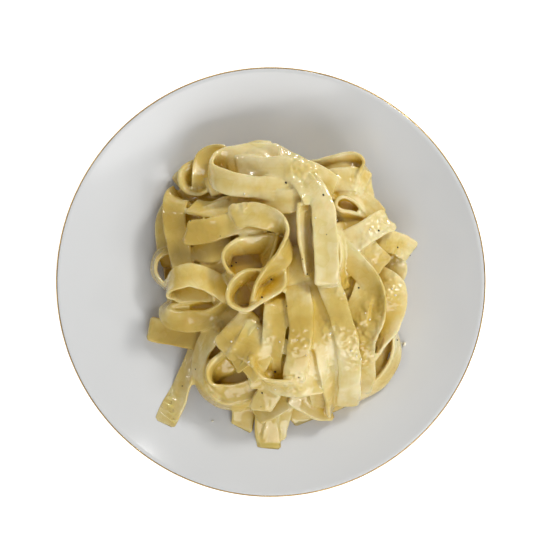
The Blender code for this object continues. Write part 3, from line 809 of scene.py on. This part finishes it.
def plate_profile():
    """The plate's section, from the middle of its top, over the lip, to the middle of its underside."""
    well = np.linspace(8 * MM, WELL_RADIUS - 4 * MM, 5)
    side = np.linspace(WELL_RADIUS, LIP_START, SIDE_STEPS)
    under = np.linspace(LIP_START - 4 * MM, FOOT_OUTSIDE + 2 * MM, UNDER_STEPS)
    profile = [(0.0, WELL_TOP)]
    profile += [(r, plate_top(r)) for r in (*well, *side)]
    profile += lip_arc(0, 70, -90, LIP_STEPS)
    profile += [(r, plate_top(r) - PLATE_THICKNESS) for r in under]
    profile += foot_profile()
    return profile + [(FOOT_INSIDE - 2 * MM, PLATE_BASE), (0.0, PLATE_BASE)]


def make_plate():
    plate = lathe("plate_glazed", plate_profile())
    plate.data.materials.append(porcelain_material())
    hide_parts("plate")
    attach(plate, "root")


def make_gilt():
    """The gilt line: a thin skin over the lip's top."""
    line = lip_arc(GILT_SKIN, *GILT_ARC, GILT_STEPS)
    inward, down = GILT_UNDER
    under = [(r - inward, z - down) for r, z in reversed(line)]
    gilt = ring_band("gilt_line", line + under)
    gilt.data.materials.append(gilt_material())
    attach(gilt, "root")


# The heap


def make_noodles(pasta):
    groups = (
        ("noodles_crown", CROWN),
        ("noodles_left", LEFT),
        ("noodles_back", BACK),
        ("noodles_right", RIGHT),
        ("noodles_front", FRONT),
        ("noodles_hidden", HIDDEN),
    )
    made = []
    for i, (name, routes) in enumerate(groups):
        obj = lay(name, routes, 100 * i)
        obj.data.materials.append(pasta)
        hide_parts("fettuccine")
        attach(obj, "root")
        made.append(obj)
    return made


def make_core(pasta):
    """A low uneven dome under the noodles, which closes the heap below."""
    verts, faces = [(*CORE_CENTRE, CORE_TOP)], []
    for k in range(1, CORE_RINGS + 1):
        lift = math.cos(k / CORE_RINGS * math.pi / 2)
        for i in range(CORE_SEGMENTS):
            turn = 2 * math.pi * i / CORE_SEGMENTS
            lobes = 1 + 0.05 * math.sin(3 * turn + 1) + 0.03 * math.sin(5 * turn)
            reach = math.sqrt(1 - lift**2) * lobes
            x, y = CORE_CENTRE + CORE_HALF * reach * (math.cos(turn), math.sin(turn))
            z = WELL_TOP + REST_GAP + (CORE_TOP - WELL_TOP) * lift
            bumps = noise.noise(np.array((x, y, z)) * CORE_BUMP_SCALE) * CORE_BUMPS * min(1, 3 * lift)
            verts.append((x, y, z + bumps))
    for i in range(CORE_SEGMENTS):
        j = (i + 1) % CORE_SEGMENTS
        faces.append((0, 1 + i, 1 + j))
        for k in range(CORE_RINGS - 1):
            a, b = 1 + k * CORE_SEGMENTS, 1 + (k + 1) * CORE_SEGMENTS
            faces.append((a + i, b + i, b + j, a + j))
    last = 1 + (CORE_RINGS - 1) * CORE_SEGMENTS
    faces.append(tuple(last + i for i in range(CORE_SEGMENTS))[::-1])
    core = mesh_object("heap_core", verts, faces)
    set_tint(core.data, np.zeros(len(verts)))
    core.data.materials.append(pasta)
    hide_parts("fettuccine")
    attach(core, "root")
    return core


def keep_outer_shell(mesh):
    """Deletes all but the largest connected surface, which drops the closed pockets inside the heap."""
    bm = bmesh.new()
    bm.from_mesh(mesh)
    left, shells = set(bm.verts), []
    while left:
        start = left.pop()
        shell, queue = {start}, [start]
        while queue:
            for edge in queue.pop().link_edges:
                for vert in edge.verts:
                    if vert in left:
                        left.discard(vert)
                        shell.add(vert)
                        queue.append(vert)
        shells.append(shell)
    keep = max(shells, key=len)
    bmesh.ops.delete(bm, geom=[v for v in bm.verts if v not in keep], context="VERTS")
    bm.to_mesh(mesh)
    bm.free()


def keep_half(mesh, sign):
    """Keeps the faces whose centre lies left (1) or right (-1) of the middle of the heap."""
    bm = bmesh.new()
    bm.from_mesh(mesh)
    gone = [f for f in bm.faces if (f.calc_center_median().x > HEAP_MIDDLE) == (sign == 1)]
    bmesh.ops.delete(bm, geom=gone, context="FACES")
    bm.to_mesh(mesh)
    bm.free()


def join(name, pieces):
    """An object of all the pieces together, and a tree of its surface."""
    joined = bmesh.new()
    for obj in pieces:
        joined.from_mesh(obj.data)
    mesh = bpy.data.meshes.new(name)
    joined.to_mesh(mesh)
    tree = BVHTree.FromBMesh(joined)
    joined.free()
    return linked(name, mesh), tree


def skin_over(obj):
    """The outer surface of the object, swollen by CREASE_FILL and smoothed, so that it fills its creases."""
    swell = obj.modifiers.new("Swell", "DISPLACE")
    swell.strength = CREASE_FILL
    swell.mid_level = 0
    remesh = obj.modifiers.new("Remesh", "REMESH")
    remesh.mode = "VOXEL"
    remesh.voxel_size = SAUCE_VOXEL
    smooth = obj.modifiers.new("Smooth", "SMOOTH")
    smooth.factor = SMOOTH_FACTOR
    smooth.iterations = SMOOTH_PASSES
    graph = bpy.context.evaluated_depsgraph_get()
    skin = bpy.data.meshes.new_from_object(obj.evaluated_get(graph))
    obj.modifiers.clear()
    keep_outer_shell(skin)
    while skin.color_attributes:
        skin.color_attributes.remove(skin.color_attributes[0])
    return skin


def nearest_edges(places, pieces):
    """The noodle edge value, as in set_tint, of the vertex of the pieces nearest to each place."""
    below = np.vstack([vert_array(obj.data) for obj in pieces])
    edges = np.concatenate([edge_array(obj.data) for obj in pieces])
    tree = kdtree.KDTree(len(below))
    for i, p in enumerate(below):
        tree.insert(p, i)
    tree.balance()
    return np.array([edges[tree.find(p)[1]] for p in places])


def sauce_waves(places):
    """How much thicker or thinner the sauce is at each place, in shares of SAUCE_UNEVEN."""
    torn, lumpy = fade(places, *TORN), lumpiness(places)
    out = np.zeros(len(places))
    for anywhere, where_torn, where_lumpy, scale in SAUCE_WAVES:
        waves = np.array([noise.noise(Vector(p) * scale) for p in places])
        out += (anywhere + where_torn * torn + where_lumpy * lumpy) * waves
    return out


def make_sauce(pieces):
    """The sauce: a skin over all the pieces that fills their creases. Returns a tree of its surface."""
    sauce, bare = join("sauce", pieces)
    skin = skin_over(sauce)
    sauce.data = skin
    places, normals = vert_array(skin), vert_array(skin, "normal")
    waves = sauce_waves(places)
    places -= normals * CREASE_FILL
    edges = nearest_edges(places, pieces)
    nearest = np.array([bare.find_nearest(p)[0] for p in places])
    gap = np.linalg.norm(places - nearest, axis=1)
    drawn = np.clip((FILM_REACH[1] - gap) / (FILM_REACH[1] - FILM_REACH[0]), 0, 1)
    places += (nearest - places) * drawn[:, None]
    places += normals * (SAUCE_FILM + SAUCE_UNEVEN * waves)[:, None]
    above_plate(places, REST_GAP / 2)
    skin.vertices.foreach_set("co", places.ravel().astype(np.float32))
    skin.shade_smooth()
    set_tint(skin, edges)
    skin.materials.clear()
    skin.materials.append(pasta_material("cream_sauce", SAUCE_COLOURS, SAUCE_ROUGHNESS))
    surface = BVHTree.FromObject(sauce, bpy.context.evaluated_depsgraph_get())

    # two pieces, because one would have too many triangles
    for obj, name, sign in ((sauce, "sauce_left", 1), (linked("rest", skin.copy()), "sauce_right", -1)):
        obj.name = name
        keep_half(obj.data, sign)
        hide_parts("fettuccine")
        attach(obj, "root")
    return surface


def scatter(name, grains, surface, material, seed):
    """Small uneven grains, each half sunk in the surface below its place."""
    draw = random.Random(seed)
    made = bmesh.new()
    for x, y, radius in grains:
        hit = surface.ray_cast(Vector((x * MM, y * MM, 0.2)), Vector((0, 0, -1)))[0]
        height = hit.z if hit else plate_top(math.hypot(x, y) * MM)
        grain = bmesh.ops.create_icosphere(made, subdivisions=2, radius=radius * MM * 1.3)["verts"]
        turn = Euler([draw.uniform(0, 6.28) for _ in range(3)]).to_matrix()
        stretch = Vector((1, draw.uniform(0.6, 1), draw.uniform(0.5, 0.8)))
        for vert in grain:
            chipped = 1 + 0.25 * noise.noise(vert.co * 2600 + Vector((x, y, 0)))
            vert.co = turn @ (vert.co * stretch) * chipped
            vert.co += Vector((x * MM, y * MM, height + 0.4 * radius * MM))
    obj = bmesh_object(name, made)
    obj.data.materials.append(material)
    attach(obj, "root")
    return obj


def make_pepper(surface):
    material = grain_material("ground_pepper", PEPPER_COLOUR, 0.6)
    scatter("ground_pepper", PEPPER, surface, material, 3)


def make_crumbs(surface):
    material = grain_material("cheese_crumbs", CHEESE_COLOUR, 0.4)
    scatter("cheese_crumbs", CRUMBS, surface, material, 5)


bpy.context.scene.view_settings.view_transform = "Standard"
place_camera()
light_stage()
make_floor()
make_plate()
make_gilt()
pasta = pasta_material("fettuccine_in_cream", NOODLE_COLOURS, NOODLE_ROUGHNESS)
heap = make_noodles(pasta)
heap.append(make_core(pasta))
surface = make_sauce(heap)
make_pepper(surface)
make_crumbs(surface)
